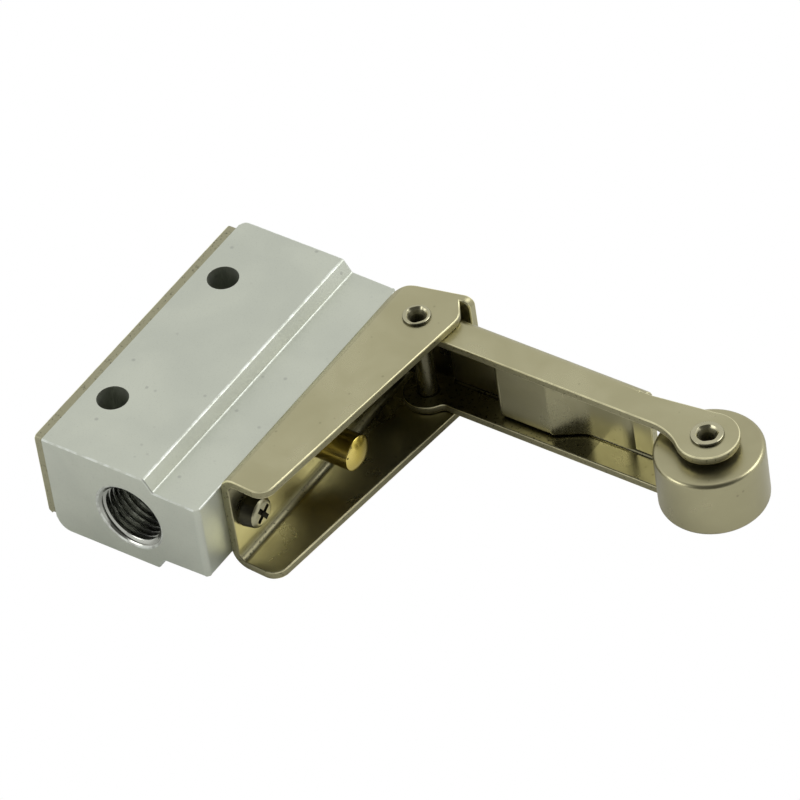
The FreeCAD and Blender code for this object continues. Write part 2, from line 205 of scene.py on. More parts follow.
def outward_edges(shape, where):
    """Sharp convex edges whose middle passes the test."""
    found = []
    for edge in shape.edges:
        if not edge.is_manifold or edge.calc_face_angle_signed() < sharp_angle:
            continue
        middle = (edge.verts[0].co + edge.verts[1].co) / 2
        if where(middle):
            found.append(edge)
    return found


def break_edges(shape, width, where=lambda place: True, segments=2):
    """Rounds sharp edges and marks the new faces, so that the finish can show abrasion and a painted
    highlight there.
    """
    worn_and_lit = shape.faces.layers.float.new("edge")
    edges = outward_edges(shape, where)
    made = bmesh.ops.bevel(
        shape, geom=edges, offset=width, offset_type="OFFSET", segments=segments,
        profile=0.5, affect="EDGES", clamp_overlap=False,
    )
    for face in made["faces"]:
        face[worn_and_lit] = 1.0


def mark_faces(piece, label, share):
    """Stores a value from 0 to 1 per face, which the finish reads; share takes its place, normal and area."""
    mesh = piece.data
    values = [share(polygon.center, polygon.normal, polygon.area) for polygon in mesh.polygons]
    mesh.attributes.new(label, "FLOAT", "FACE").data.foreach_set("value", values)


def fill_long_corners(shape, width):
    """Rounds the long inward corners of the extruded body and gives them a painted highlight, so that they
    shine as thin lines.
    """
    worn_and_lit = shape.faces.layers.float["edge"]
    corners = []
    for edge in shape.edges:
        is_inward = edge.is_manifold and edge.calc_face_angle_signed() < -sharp_angle
        if is_inward and edge.calc_length() > long_corner:
            corners.append(edge)
    made = bmesh.ops.bevel(
        shape, geom=corners, offset=width, offset_type="OFFSET", segments=2,
        profile=0.5, affect="EDGES", clamp_overlap=False,
    )
    for face in made["faces"]:
        face[worn_and_lit] = corner_highlight


def object_from(shape, name):
    mesh = bpy.data.meshes.new(name)
    shape.to_mesh(mesh)
    shape.free()
    piece = bpy.data.objects.new(name, mesh)
    bpy.context.scene.collection.objects.link(piece)
    return piece


def applied(piece):
    """Puts the mesh that the modifiers make in the object's place."""
    graph = bpy.context.evaluated_depsgraph_get()
    mesh = bpy.data.meshes.new_from_object(piece.evaluated_get(graph))
    piece.modifiers.clear()
    piece.data = mesh
    return piece


def cut_away(piece, cutter):
    tool = piece.modifiers.new("cut", "BOOLEAN")
    tool.operation = "DIFFERENCE"
    tool.solver = "EXACT"
    tool.object = cutter
    applied(piece)
    bpy.data.objects.remove(cutter, do_unlink=True)
    return piece


def smoothed(piece, sharp=sharp_angle):
    """Smooth shading that keeps broad faces flat and sharp edges sharp."""
    mesh = piece.data
    mesh.polygons.foreach_set("use_smooth", [True] * len(mesh.polygons))
    mesh.set_sharp_from_angle(angle=sharp)
    for polygon in mesh.polygons:
        if polygon.area > flat_area:
            for corner in polygon.loop_indices:
                mesh.edges[mesh.loops[corner].edge_index].use_edge_sharp = True
    tool = piece.modifiers.new("normals", "WEIGHTED_NORMAL")
    tool.keep_sharp = True
    return applied(piece)


def handed_over(piece, body, nodes, material):
    """Gives a finished piece its material, the body it rides on and the nodes that it stands for."""
    piece.data.materials.clear()
    piece.data.materials.append(material)
    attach(piece, body)
    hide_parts(*nodes)
    return piece


# turned parts

def turned(name, profile, centre, axis, steps=96, lip=None):
    """Solid of revolution from a closed (radius, along) profile; lip adds to the radius by place."""
    along_axis = Vector(axis).normalized()
    across = Vector(axis).orthogonal().normalized()
    side = along_axis.cross(across)
    shape = bmesh.new()
    rings = []
    for radius, along in profile:
        foot = Vector(centre) + along_axis * along
        if radius == 0:
            rings.append([shape.verts.new(foot)])
            continue
        ring = []
        for step in range(steps):
            angle = 2 * math.pi * step / steps
            reach = radius if lip is None else radius + lip(radius, along, angle)
            outward = across * math.cos(angle) + side * math.sin(angle)
            ring.append(shape.verts.new(foot + outward * reach))
        rings.append(ring)
    for first, second in zip(rings, rings[1:] + rings[:1]):
        for step in range(steps):
            after = (step + 1) % steps
            corners = [
                first[step % len(first)], first[after % len(first)],
                second[after % len(second)], second[step % len(second)],
            ]
            corners = list(dict.fromkeys(corners))
            if len(corners) > 2:
                shape.faces.new(corners)
    bmesh.ops.recalc_face_normals(shape, faces=shape.faces)
    return object_from(shape, name)


def arc(centre_radius, centre_along, reach, start, end, steps=5):
    """Points of a rounded corner in a turned profile; angles in degrees from the outward radius."""
    points = []
    for step in range(steps + 1):
        angle = math.radians(start + (end - start) * step / steps)
        points.append((centre_radius + reach * math.cos(angle), centre_along + reach * math.sin(angle)))
    return points


def rounded_ring_section(inner, outer, low, high, corner):
    """Closed (radius, along) outline of a ring of square section with round corners."""
    return (
        arc(inner + corner, low + corner, corner, 270, 180, 4)
        + arc(inner + corner, high - corner, corner, 180, 90, 4)
        + arc(outer - corner, high - corner, corner, 90, 0, 4)
        + arc(outer - corner, low + corner, corner, 0, -90, 4)
    )


# node trees that make what repeats or follows a path

def geometry_tree(name, inputs):
    """Empty geometry tree with a geometry output and named float, vector, material and object inputs."""
    tree = bpy.data.node_groups.new(name, "GeometryNodeTree")
    tree.interface.new_socket("Geometry", in_out="OUTPUT", socket_type="NodeSocketGeometry")
    for label, kind in inputs:
        tree.interface.new_socket(label, in_out="INPUT", socket_type="NodeSocket" + kind)
    start = tree.nodes.new("NodeGroupInput")
    end = tree.nodes.new("NodeGroupOutput")
    return tree, start.outputs, end.inputs["Geometry"]


def add(tree, kind, settings=None, **inputs):
    """New node; inputs are named with underscores and take a value or a socket."""
    made = tree.nodes.new(kind)
    for label, value in (settings or {}).items():
        setattr(made, label, value)
    for label, value in inputs.items():
        socket = made.inputs[label.replace("_", " ")]
        if isinstance(value, bpy.types.NodeSocket):
            tree.links.new(value, socket)
        else:
            socket.default_value = value
    return made


def calc(tree, operation, first, second=0.0, clamp=False):
    made = tree.nodes.new("ShaderNodeMath")
    made.operation = operation
    made.use_clamp = clamp
    for socket, value in zip(made.inputs, (first, second)):
        if isinstance(value, bpy.types.NodeSocket):
            tree.links.new(value, socket)
        else:
            socket.default_value = value
    return made.outputs[0]


def with_tree(name, tree, values):
    """Object whose mesh comes from a geometry tree with these input values, as a plain mesh."""
    piece = bpy.data.objects.new(name, bpy.data.meshes.new(name))
    bpy.context.scene.collection.objects.link(piece)
    tool = piece.modifiers.new("made", "NODES")
    tool.node_group = tree
    names = {item.name: item.identifier for item in tree.interface.items_tree if item.in_out == "INPUT"}
    for label, value in values.items():
        tool[names[label]] = value
    return applied(piece)


def wound_wire_tree():
    """Round wire wound on a cylinder along -Y, with closed ends."""
    tree, given, result = geometry_tree("wound_wire", [
        ("Coil Radius", "Float"), ("Wire Radius", "Float"), ("Turns", "Float"),
        ("Length", "Float"), ("Start", "Vector"), ("Material", "Material"),
    ])
    path = add(
        tree, "GeometryNodeCurveSpiral", Resolution=48, Rotations=given["Turns"],
        Start_Radius=given["Coil Radius"], End_Radius=given["Coil Radius"], Height=given["Length"],
    )
    wire = add(tree, "GeometryNodeCurvePrimitiveCircle", Resolution=16, Radius=given["Wire Radius"])
    tube = add(
        tree, "GeometryNodeCurveToMesh", Curve=path.outputs["Curve"],
        Profile_Curve=wire.outputs["Curve"], Fill_Caps=True,
    )
    turned_over = add(
        tree, "GeometryNodeTransform", Geometry=tube.outputs["Mesh"],
        Rotation=(math.radians(90), 0.0, 0.0), Translation=given["Start"],
    )
    smooth = add(tree, "GeometryNodeSetShadeSmooth", Geometry=turned_over.outputs["Geometry"])
    real = add(tree, "GeometryNodeRealizeInstances", Geometry=smooth.outputs["Geometry"])
    coloured = add(
        tree, "GeometryNodeSetMaterial", Geometry=real.outputs["Geometry"], Material=given["Material"],
    )
    tree.links.new(coloured.outputs["Geometry"], result)
    return tree


def row_tree():
    """Copies of one piece in a row along X, evenly about the middle."""
    tree, given, result = geometry_tree("row_of_copies", [
        ("Piece", "Object"), ("Count", "Int"), ("Pitch", "Float"),
        ("Middle", "Float"), ("Material", "Material"),
    ])
    spans = calc(tree, "SUBTRACT", given["Count"], 1.0)
    half = calc(tree, "MULTIPLY", calc(tree, "MULTIPLY", spans, given["Pitch"]), 0.5)
    first = add(tree, "ShaderNodeCombineXYZ", X=calc(tree, "SUBTRACT", given["Middle"], half))
    gap = add(tree, "ShaderNodeCombineXYZ", X=given["Pitch"])
    line = add(
        tree, "GeometryNodeMeshLine", Count=given["Count"],
        Start_Location=first.outputs[0], Offset=gap.outputs[0],
    )
    pattern = add(tree, "GeometryNodeObjectInfo", Object=given["Piece"])
    copies = add(
        tree, "GeometryNodeInstanceOnPoints", Points=line.outputs["Mesh"],
        Instance=pattern.outputs["Geometry"],
    )
    real = add(tree, "GeometryNodeRealizeInstances", Geometry=copies.outputs["Instances"])
    coloured = add(
        tree, "GeometryNodeSetMaterial", Geometry=real.outputs["Geometry"], Material=given["Material"],
    )
    tree.links.new(coloured.outputs["Geometry"], result)
    return tree


# shader groups that several finishes share

def shader_group(name, inputs, outputs):
    tree = bpy.data.node_groups.new(name, "ShaderNodeTree")
    for label, kind, value in inputs:
        socket = tree.interface.new_socket(label, in_out="INPUT", socket_type="NodeSocket" + kind)
        socket.default_value = value
    for label in outputs:
        tree.interface.new_socket(label, in_out="OUTPUT", socket_type="NodeSocketFloat")
    start = tree.nodes.new("NodeGroupInput")
    end = tree.nodes.new("NodeGroupOutput")
    return tree, start.outputs, end.inputs


def ramp(tree, value, low, high):
    """0 below low, 1 above high, smooth between."""
    made = add(
        tree, "ShaderNodeMapRange", {"interpolation_type": "SMOOTHSTEP"},
        Value=value, From_Min=low, From_Max=high,
    )
    return made.outputs["Result"]


def stretched_place(tree, stretch):
    """Object coordinates multiplied by a stretch vector."""
    place = tree.nodes.new("ShaderNodeTexCoord")
    made = tree.nodes.new("ShaderNodeVectorMath")
    made.operation = "MULTIPLY"
    tree.links.new(place.outputs["Object"], made.inputs[0])
    tree.links.new(stretch, made.inputs[1])
    return made.outputs[0]


def grain_group():
    """Fine grain or lines: a height about 0.5 and a mask of its deeper spots."""
    tree, given, result = shader_group(
        "grain",
        [("Stretch", "Vector", (1.0, 1.0, 1.0)), ("Scale", "Float", 4000.0), ("Roughness", "Float", 0.6)],
        ["Height", "Spots"],
    )
    field = add(
        tree, "ShaderNodeTexNoise", Vector=stretched_place(tree, given["Stretch"]),
        Scale=given["Scale"], Detail=4.0, Roughness=given["Roughness"],
    )
    tree.links.new(field.outputs["Fac"], result["Height"])
    tree.links.new(ramp(tree, field.outputs["Fac"], 0.56, 0.72), result["Spots"])
    return tree


def edge_wear_and_highlight_group():
    """Where broken edges are abraded and carry a painted highlight, in uneven patches."""
    tree, given, result = shader_group(
        "worn_and_lit_edges", [("Patch Scale", "Float", 700.0), ("Least", "Float", 0.5)], ["Mask"],
    )
    edge = add(tree, "ShaderNodeAttribute", {"attribute_name": "edge"})
    place = tree.nodes.new("ShaderNodeTexCoord")
    patches = add(
        tree, "ShaderNodeTexNoise", Vector=place.outputs["Object"], Scale=given["Patch Scale"], Detail=3.0,
    )
    uneven = ramp(tree, patches.outputs["Fac"], 0.35, 0.62)
    least = given["Least"]
    share = calc(tree, "ADD", least, calc(tree, "MULTIPLY", uneven, calc(tree, "SUBTRACT", 1.0, least)))
    tree.links.new(calc(tree, "MULTIPLY", edge.outputs["Fac"], share), result["Mask"])
    return tree


def stain_group():
    """Broad cloudy stains and small pits of a plated or rolled surface."""
    tree, given, result = shader_group(
        "stains_and_pits",
        [("Cloud Scale", "Float", 120.0), ("Pit Scale", "Float", 1500.0), ("Pit Share", "Float", 0.12)],
        ["Clouds", "Pits"],
    )
    place = tree.nodes.new("ShaderNodeTexCoord")
    clouds = add(
        tree, "ShaderNodeTexNoise", Vector=place.outputs["Object"], Scale=given["Cloud Scale"],
        Detail=3.0, Distortion=0.4,
    )
    tree.links.new(ramp(tree, clouds.outputs["Fac"], 0.32, 0.7), result["Clouds"])
    cells = add(tree, "ShaderNodeTexVoronoi", Vector=place.outputs["Object"], Scale=given["Pit Scale"])
    wanted = add(tree, "ShaderNodeSeparateColor", Color=cells.outputs["Color"])
    chosen = calc(tree, "LESS_THAN", wanted.outputs["Red"], given["Pit Share"])
    round_spot = calc(tree, "SUBTRACT", 1.0, ramp(tree, cells.outputs["Distance"], 0.1, 0.34))
    tree.links.new(calc(tree, "MULTIPLY", chosen, round_spot), result["Pits"])
    return tree


grain = grain_group()
worn_and_lit_edges = edge_wear_and_highlight_group()
stains = stain_group()


# materials

def placed(tree, group, **inputs):
    made = add(tree, "ShaderNodeGroup", {"node_tree": group})
    for label, value in inputs.items():
        made.inputs[label.replace("_", " ")].default_value = value
    return made.outputs


def mixed(tree, share, first, second):
    """Colour between two colours; each may be a value or a socket."""
    made = tree.nodes.new("ShaderNodeMix")
    made.data_type = "RGBA"
    for socket, value in ((made.inputs[0], share), (made.inputs[6], first), (made.inputs[7], second)):
        if isinstance(value, bpy.types.NodeSocket):
            tree.links.new(value, socket)
        else:
            socket.default_value = value
    return made.outputs[2]


def grey_between(tree, share, low, high):
    made = add(tree, "ShaderNodeMapRange", Value=share, To_Min=low, To_Max=high)
    return made.outputs["Result"]


def new_material(name, metallic=1.0):
    material = bpy.data.materials.new(name)
    material.use_nodes = True
    tree = material.node_tree
    shader = tree.nodes["Principled BSDF"]
    shader.inputs["Metallic"].default_value = metallic
    return material, tree, shader


def bumped(tree, shader, height, distance, strength=1.0):
    """Feeds a height to the shader's normal; distance in metres."""
    made = add(tree, "ShaderNodeBump", Height=height, Distance=distance, Strength=strength)
    tree.links.new(made.outputs["Normal"], shader.inputs["Normal"])


def colour(red, green, blue):
    return (red, green, blue, 1.0)


def body_finish():
    """Satin extruded aluminium with faint die lines along the body, abraded edges with a painted highlight,
    and slightly darker port walls as painted shade.
    """
    material, tree, shader = new_material("satin_aluminium")
    lines = placed(tree, grain, Stretch=(0.04, 1.0, 1.0), Scale=2600.0)
    fine = placed(tree, grain, Stretch=(1.0, 1.0, 1.0), Scale=5200.0)
    marks = placed(tree, stains, Cloud_Scale=90.0, Pit_Scale=900.0, Pit_Share=0.05)
    wear_and_highlight = placed(tree, worn_and_lit_edges, Patch_Scale=900.0, Least=0.1)["Mask"]
    bored = add(tree, "ShaderNodeAttribute", {"attribute_name": "bored"}).outputs["Fac"]
    plain = mixed(tree, marks["Clouds"], colour(0.55, 0.575, 0.505), colour(0.60, 0.625, 0.545))
    speckled = mixed(tree, calc(tree, "MULTIPLY", fine["Spots"], 0.35), plain, colour(0.44, 0.46, 0.40))
    pitted = mixed(tree, calc(tree, "MULTIPLY", marks["Pits"], 0.5), speckled, colour(0.34, 0.35, 0.32))
    # port walls slightly darker: the tone of tapped metal, partly painted shade inside the bores
    tapped_and_shaded = mixed(tree, bored, pitted, colour(0.50, 0.51, 0.47))
    # abraded edges, partly real and partly a painted highlight
    tree.links.new(mixed(tree, wear_and_highlight, tapped_and_shaded, colour(0.76, 0.79, 0.74)), shader.inputs["Base Color"])
    rough = grey_between(tree, fine["Height"], 0.40, 0.56)
    rough = calc(tree, "SUBTRACT", rough, calc(tree, "MULTIPLY", bored, 0.28))
    tree.links.new(rough, shader.inputs["Roughness"])
    relief = calc(tree, "ADD", calc(tree, "MULTIPLY", lines["Height"], 0.5), fine["Height"])
    relief = calc(tree, "MULTIPLY", relief, grey_between(tree, bored, 1.0, 0.15))
    bumped(tree, shader, relief, 0.02 * MM, 0.5)
    return material


def plated_finish(
    name, light, dark, roughness, stretch=(1.0, 1.0, 1.0), line_depth=0.004, edge_least=0.35, waviness=14.0,
):
    """Nickel plated steel: cloudy tint, pits, abraded edges with a painted highlight, rough sheared faces and
    painted shade in corners and hollows.
    """
    material, tree, shader = new_material(name)
    lines = placed(tree, grain, Stretch=stretch, Scale=2400.0)
    fine = placed(tree, grain, Stretch=(1.0, 1.0, 1.0), Scale=2600.0)
    marks = placed(tree, stains, Cloud_Scale=110.0, Pit_Scale=1300.0, Pit_Share=0.05)
    wear_and_highlight = placed(tree, worn_and_lit_edges, Patch_Scale=420.0, Least=edge_least)["Mask"]
    torn = add(tree, "ShaderNodeAttribute", {"attribute_name": "cut"}).outputs["Fac"]
    shade_share = add(tree, "ShaderNodeAttribute", {"attribute_name": "painted_shade"}).outputs["Fac"]
    plain = mixed(tree, marks["Clouds"], colour(*dark), colour(*light))

    def darker(share):
        return colour(*[value * share for value in dark])

    pitted = mixed(tree, calc(tree, "MULTIPLY", marks["Pits"], 0.45), plain, darker(0.5))
    sheared = mixed(tree, fine["Spots"], darker(0.85), darker(0.3))
    metal = mixed(tree, torn, pitted, sheared)
    # abraded edges, partly real and partly a painted highlight
    bright = colour(*[min(1.0, value * 1.75) for value in light])
    rubbed_and_lit = mixed(tree, wear_and_highlight, metal, bright)
    # painted shade, speckled, in folds, recesses and dark sides
    shade_specks = calc(tree, "MULTIPLY", calc(tree, "MULTIPLY", fine["Spots"], shade_share), 1.5)
    speckled_shade = calc(tree, "ADD", shade_share, shade_specks, clamp=True)
    tree.links.new(mixed(tree, speckled_shade, rubbed_and_lit, darker(0.12)), shader.inputs["Base Color"])
    rough = grey_between(tree, marks["Clouds"], roughness + 0.06, roughness)
    rough = calc(tree, "ADD", rough, calc(tree, "MULTIPLY", torn, 0.22))
    rough = calc(tree, "ADD", rough, calc(tree, "MULTIPLY", fine["Spots"], 0.05))
    tree.links.new(rough, shader.inputs["Roughness"])
    torn_depth = calc(tree, "MULTIPLY", fine["Height"], torn)
    waves = placed(tree, grain, Stretch=(1.0, 1.0, 1.0), Scale=160.0, Roughness=0.35)
    relief = calc(tree, "ADD", lines["Height"], calc(tree, "MULTIPLY", torn_depth, 6.0))
    relief = calc(tree, "ADD", relief, calc(tree, "MULTIPLY", waves["Height"], waviness))
    bumped(tree, shader, relief, line_depth * MM, 0.6)
    return material


def brass_finish(name):
    """Turned brass, slightly tarnished in patches, with fine turning marks."""
    material, tree, shader = new_material(name)
    marks = placed(tree, stains, Cloud_Scale=300.0, Pit_Scale=1800.0, Pit_Share=0.03)
    lines = placed(tree, grain, Stretch=(0.15, 1.0, 0.15), Scale=5200.0)
    plain = mixed(tree, marks["Clouds"], colour(0.72, 0.57, 0.13), colour(0.80, 0.65, 0.20))
    pitted = mixed(tree, calc(tree, "MULTIPLY", marks["Pits"], 0.4), plain, colour(0.34, 0.25, 0.06))
    # painted shade where faces are marked for it
    shade_share = add(tree, "ShaderNodeAttribute", {"attribute_name": "painted_shade"}).outputs["Fac"]
    tree.links.new(mixed(tree, shade_share, pitted, colour(0.16, 0.10, 0.01)), shader.inputs["Base Color"])
    tree.links.new(grey_between(tree, lines["Height"], 0.17, 0.27), shader.inputs["Roughness"])
    bumped(tree, shader, lines["Height"], 0.002 * MM, 0.5)
    return material


def rubber_finish():
    """Matt black seal rubber with a fine moulded grain."""
    material, tree, shader = new_material("seal_rubber", metallic=0.0)
    fine = placed(tree, grain, Stretch=(1.0, 1.0, 1.0), Scale=3600.0)
    tint = mixed(tree, fine["Height"], colour(0.012, 0.012, 0.013), colour(0.035, 0.034, 0.033))
    tree.links.new(tint, shader.inputs["Base Color"])
    tree.links.new(grey_between(tree, fine["Height"], 0.5, 0.7), shader.inputs["Roughness"])
    bumped(tree, shader, fine["Height"], 0.02 * MM, 0.4)
    return material


satin_aluminium = body_finish()
nickel_sheet = plated_finish("nickel_sheet", (0.455, 0.43, 0.275), (0.40, 0.375, 0.23), 0.26, edge_least=0.6)
cover_steel = plated_finish("zinc_sheet", (0.50, 0.49, 0.355), (0.45, 0.435, 0.30), 0.34, edge_least=0.05)
roller_steel = plated_finish(
    "roller_nickel", (0.41, 0.385, 0.24), (0.37, 0.345, 0.215), 0.27,
    stretch=(1.0, 1.0, 12.0), line_depth=0.0012,
)
rivet_steel = plated_finish("rivet_nickel", (0.50, 0.47, 0.33), (0.42, 0.40, 0.27), 0.22)
screw_steel = plated_finish("screw_nickel", (0.48, 0.46, 0.31), (0.40, 0.38, 0.25), 0.26)
spring_steel = plated_finish("bright_spring_steel", (0.62, 0.62, 0.6), (0.5, 0.5, 0.48), 0.24)
plunger_brass = brass_finish("plunger_brass")
inner_brass = brass_finish("inner_brass")
seal_rubber = rubber_finish()


# body with real threads in its ports

def on_outside(node):
    """Test for places on the flat sides of a node's box, but not under the cover or round a mounting hole."""
    low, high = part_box(node)
    dims = mounts["mounting_holes"]["dims"]
    half_pitch = dims["spacing_x_mm"] * MM / 2
    rim = dims["hole_r_mm"] * MM + hole_rim

    def test(place):
        if place.y > high[1] - on_side or math.hypot(abs(place.x) - half_pitch, place.y) < rim:
            return False
        return any(
            abs(place[axis] - low[axis]) < on_side or abs(place[axis] - high[axis]) < on_side
            for axis in range(3)
        )
    return test


def thread_ridge(mouth, inward, core, length):
    """Closed V-shaped ridge wound along X, which is cut out of a port's wall."""
    turns = length / thread_pitch
    steps = int(turns * thread_steps)
    section = [
        (-thread_overlap, -thread_foot), (thread_depth, -thread_crest),
        (thread_depth, thread_crest), (-thread_overlap, thread_foot),
    ]
    shape = bmesh.new()
    rings = []
    for step in range(steps + 1):
        turn = step / thread_steps
        angle = 2 * math.pi * turn
        left = (turns - turn) * thread_pitch
        fade = min(1.0, max(thread_least, left / thread_run_out))
        ring = []
        for height, across in section:
            reach = core + (height * fade if height > 0 else height)
            along = mouth[0] + inward * (turn * thread_pitch + across)
            aside = mouth[1] + reach * math.cos(angle)
            above = mouth[2] + reach * math.sin(angle)
            ring.append(shape.verts.new((along, aside, above)))
        rings.append(ring)
    for first, second in zip(rings, rings[1:]):
        for corner in range(len(section)):
            after = (corner + 1) % len(section)
            shape.faces.new((first[corner], first[after], second[after], second[corner]))
    shape.faces.new(rings[0])
    shape.faces.new(list(reversed(rings[-1])))
    bmesh.ops.recalc_face_normals(shape, faces=shape.faces)
    return object_from(shape, "thread_cutter")


def inside_ports(low, high):
    """1 inside either port, whose walls a tap has cut shiny."""
    across, up = mounts["near_port"]["pos_m"][1:]

    def share(place, normal, area):
        deep = min(high[0] - place.x, place.x - low[0])
        away = math.hypot(place.y - across, place.z - up)
        return 1.0 if port_mouth < deep < port_depth and away < port_reach else 0.0
    return share


def make_body():
    low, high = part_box("valve_body")
    shape = joined_solid("valve_body")
    break_edges(shape, body_edge, on_outside("valve_body"))
    fill_long_corners(shape, corner_fillet)
    body = object_from(shape, "body_with_ports")
    for name in ("near_port", "far_port"):
        port = mounts[name]
        core = port["dims"]["r_mm"] * MM
        outward = port["axis"][0]
        face = low[0] if outward < 0 else high[0]
        mouth = (face + outward * thread_lead_in, port["pos_m"][1], port["pos_m"][2])
        cut_away(body, thread_ridge(mouth, -outward, core, port["dims"]["length_mm"] * MM))
    mark_faces(body, "bored", inside_ports(low, high))
    smoothed(body, crisp_angle)
    return handed_over(body, "valve", ["valve_body"], satin_aluminium)


# sheet metal

def sheared_rim(low, high, ends):
    """1 on the sheared faces of two flanges that lie across Z and on given ends, less along the folds."""
    def share(place, normal, area):
        near_flange = place.z > high[2] - sheet_thickness or place.z < low[2] + sheet_thickness
        if near_flange and abs(normal.z) < 0.1:
            return 1.0
        if any(normal[axis] * side > 0.9 and abs(place[axis] - at) < square_end for axis, side, at in ends):
            return 1.0
        if abs(normal.x) < 0.1 and least_lean < abs(normal.z) < most_lean and area < fold_area:
            return fold_wear
        return 0.0
    return share


def corner_painted_shade(level, least_y, in_fold, on_flange=lambda place: 0.0):
    """Painted shade in the fold above a channel's low flange, and less of it on the flange itself."""
    def share(place, normal, area):
        if place.y < least_y or not level - shade_below < place.z < level + shade_height:
            return 0.0
        if least_lean < normal.z < most_lean and abs(place.z - level) < fold_height:
            return in_fold
        return on_flange(place) if normal.z > most_lean else 0.0
    return share


def split_across(shape, places):
    """Cuts every face at these places along Y, so that each stretch can have its own painted shade."""
    for place in places:
        every = list(shape.verts) + list(shape.edges) + list(shape.faces)
        bmesh.ops.bisect_plane(
            shape, geom=every, dist=weld_distance, plane_co=(0.0, place, 0.0), plane_no=(0.0, 1.0, 0.0),
        )


def soften_creases(shape, width):
    """Rounds the creases across the pressed form, which the press leaves soft."""
    creases = []
    for edge in shape.edges:
        if not edge.is_manifold or not crease_least < edge.calc_face_angle() < crease_most:
            continue
        run = edge.verts[1].co - edge.verts[0].co
        if run.length > crease_length and abs(run.normalized().z) > 0.95:
            creases.append(edge)
    bmesh.ops.bevel(
        shape, geom=creases, offset=width, offset_type="OFFSET", segments=5,
        profile=0.5, affect="EDGES", clamp_overlap=False,
    )


def make_bracket():
    low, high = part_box("bracket")
    shape = joined_solid("bracket")
    break_edges(shape, sheet_edge)
    worn_and_lit = shape.faces.layers.float["edge"]
    for face in shape.faces:
        place = face.calc_center_median()
        if place.x < low[0] + dull_end and place.z < high[2] - sheet_thickness:
            face[worn_and_lit] *= dull_end_wear_and_highlight
    bracket = object_from(shape, "folded_bracket")
    mark_faces(bracket, "cut", sheared_rim(low, high, [(0, -1, low[0])]))
    # painted shade in the bracket's low fold
    mark_faces(bracket, "painted_shade", corner_painted_shade(low[2] + sheet_thickness, low[1], bracket_fold_shade))
    smoothed(bracket)
    return handed_over(bracket, "valve", ["bracket"], nickel_sheet)


def make_lever():
    low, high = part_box("lever")
    shape = joined_solid("lever")
    soften_creases(shape, crease_width)
    break_edges(shape, sheet_edge)
    roller_y = joints["roller_spin"]["pos_m"][1]
    split_across(shape, [roller_y + bright_from, roller_y + bright_to])
    lever = object_from(shape, "folded_lever")
    mark_faces(lever, "cut", sheared_rim(low, high, []))

    def flange_shade(place):
        """Deep painted shade near the boss and just before the roller, faint between."""
        return faint_flange_shade if bright_from < place.y - roller_y < bright_to else deep_flange_shade

    level = low[2] + sheet_thickness
    # painted shade in the lever's fold and on its low flange
    mark_faces(lever, "painted_shade", corner_painted_shade(level, roller_y + shade_end, lever_fold_shade, flange_shade))
    smoothed(lever)
    return handed_over(lever, "lever", ["lever"], nickel_sheet)


def round_plate_corners(shape, width):
    """Rounds the corners of a plate that lies across Y."""
    corners = []
    for edge in shape.edges:
        run = (edge.verts[1].co - edge.verts[0].co).normalized()
        if edge.is_manifold and abs(run.y) > 0.99 and edge.calc_face_angle_signed() > math.radians(80):
            corners.append(edge)
    bmesh.ops.bevel(
        shape, geom=corners, offset=width, offset_type="OFFSET", segments=5,
        profile=0.5, affect="EDGES", clamp_overlap=False,
    )


def make_cover():
    inner_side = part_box("back_cover")[0][1]
    shape = joined_solid("back_cover")
    round_plate_corners(shape, cover_corner)
    break_edges(shape, cover_edge, lambda place: place.y > inner_side + on_side)
    cover = object_from(shape, "back_cover_strip")
    mark_faces(cover, "cut", lambda place, normal, area: 1.0 if abs(normal.y) < 0.3 else 0.0)
    smoothed(cover)
    return handed_over(cover, "valve", ["back_cover"], cover_steel)


# roller, rivets, screws and plunger

def middle_of(node):
    low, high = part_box(node)
    return [(a + b) / 2 for a, b in zip(low, high)]


def size_of(node):
    low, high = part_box(node)
    return [b - a for a, b in zip(low, high)]


def make_roller():
    radius = size_of("roller")[0] / 2
    half = size_of("roller")[2] / 2
    bore = roller_bore_radius
    edge = roller_rim
    small = roller_chamfer
    profile = (
        [(bore, -half + small), (bore + small, -half)]
        + arc(radius - edge, -half + edge, edge, -90, 0, 6)
        + arc(radius - edge, half - edge, edge, 0, 90, 6)
        + [(bore + small, half), (bore, half - small)]
    )
    roller = turned("steel_roller", profile, middle_of("roller"), (0, 0, 1), 128)
    smoothed(roller)
    return handed_over(roller, "roller", ["roller"], roller_steel)


def crimped(head_start, lip_radius, amount, seed):
    """Uneven rolled lip: pushes the inner rim of a rivet's heads in and out."""
    def lip(radius, along, angle):
        if abs(along) < head_start or radius > lip_radius:
            return 0.0
        level = seed + (5.0 if along > 0 else 0.0)
        return amount * noise.noise(Vector((math.cos(angle) * lip_waves, math.sin(angle) * lip_waves, level)))
    return lip


def rivet_profile(half_grip, shank, head, bore, height):
    """Hollow rivet with rolled rings and a bore that widens at its mouths, in shares of the head's height."""
    roll = height * 0.55
    mouth = bore + height
    right = (
        [(shank, half_grip), (head - 0.04 * MM, half_grip)]
        + arc(head - roll, half_grip + height - roll, roll, -20, 90, 5)
        + [(mouth + roll * 0.6, half_grip + height * 0.97)]
        + [(mouth, half_grip + height * 0.7), (mouth - height * 0.35, half_grip + height * 0.1)]
        + [(bore + height * 0.12, half_grip - height * 0.8), (bore, half_grip - height * 1.8)]
    )
    mirrored = [(radius, -along) for radius, along in reversed(right)]
    return right + mirrored


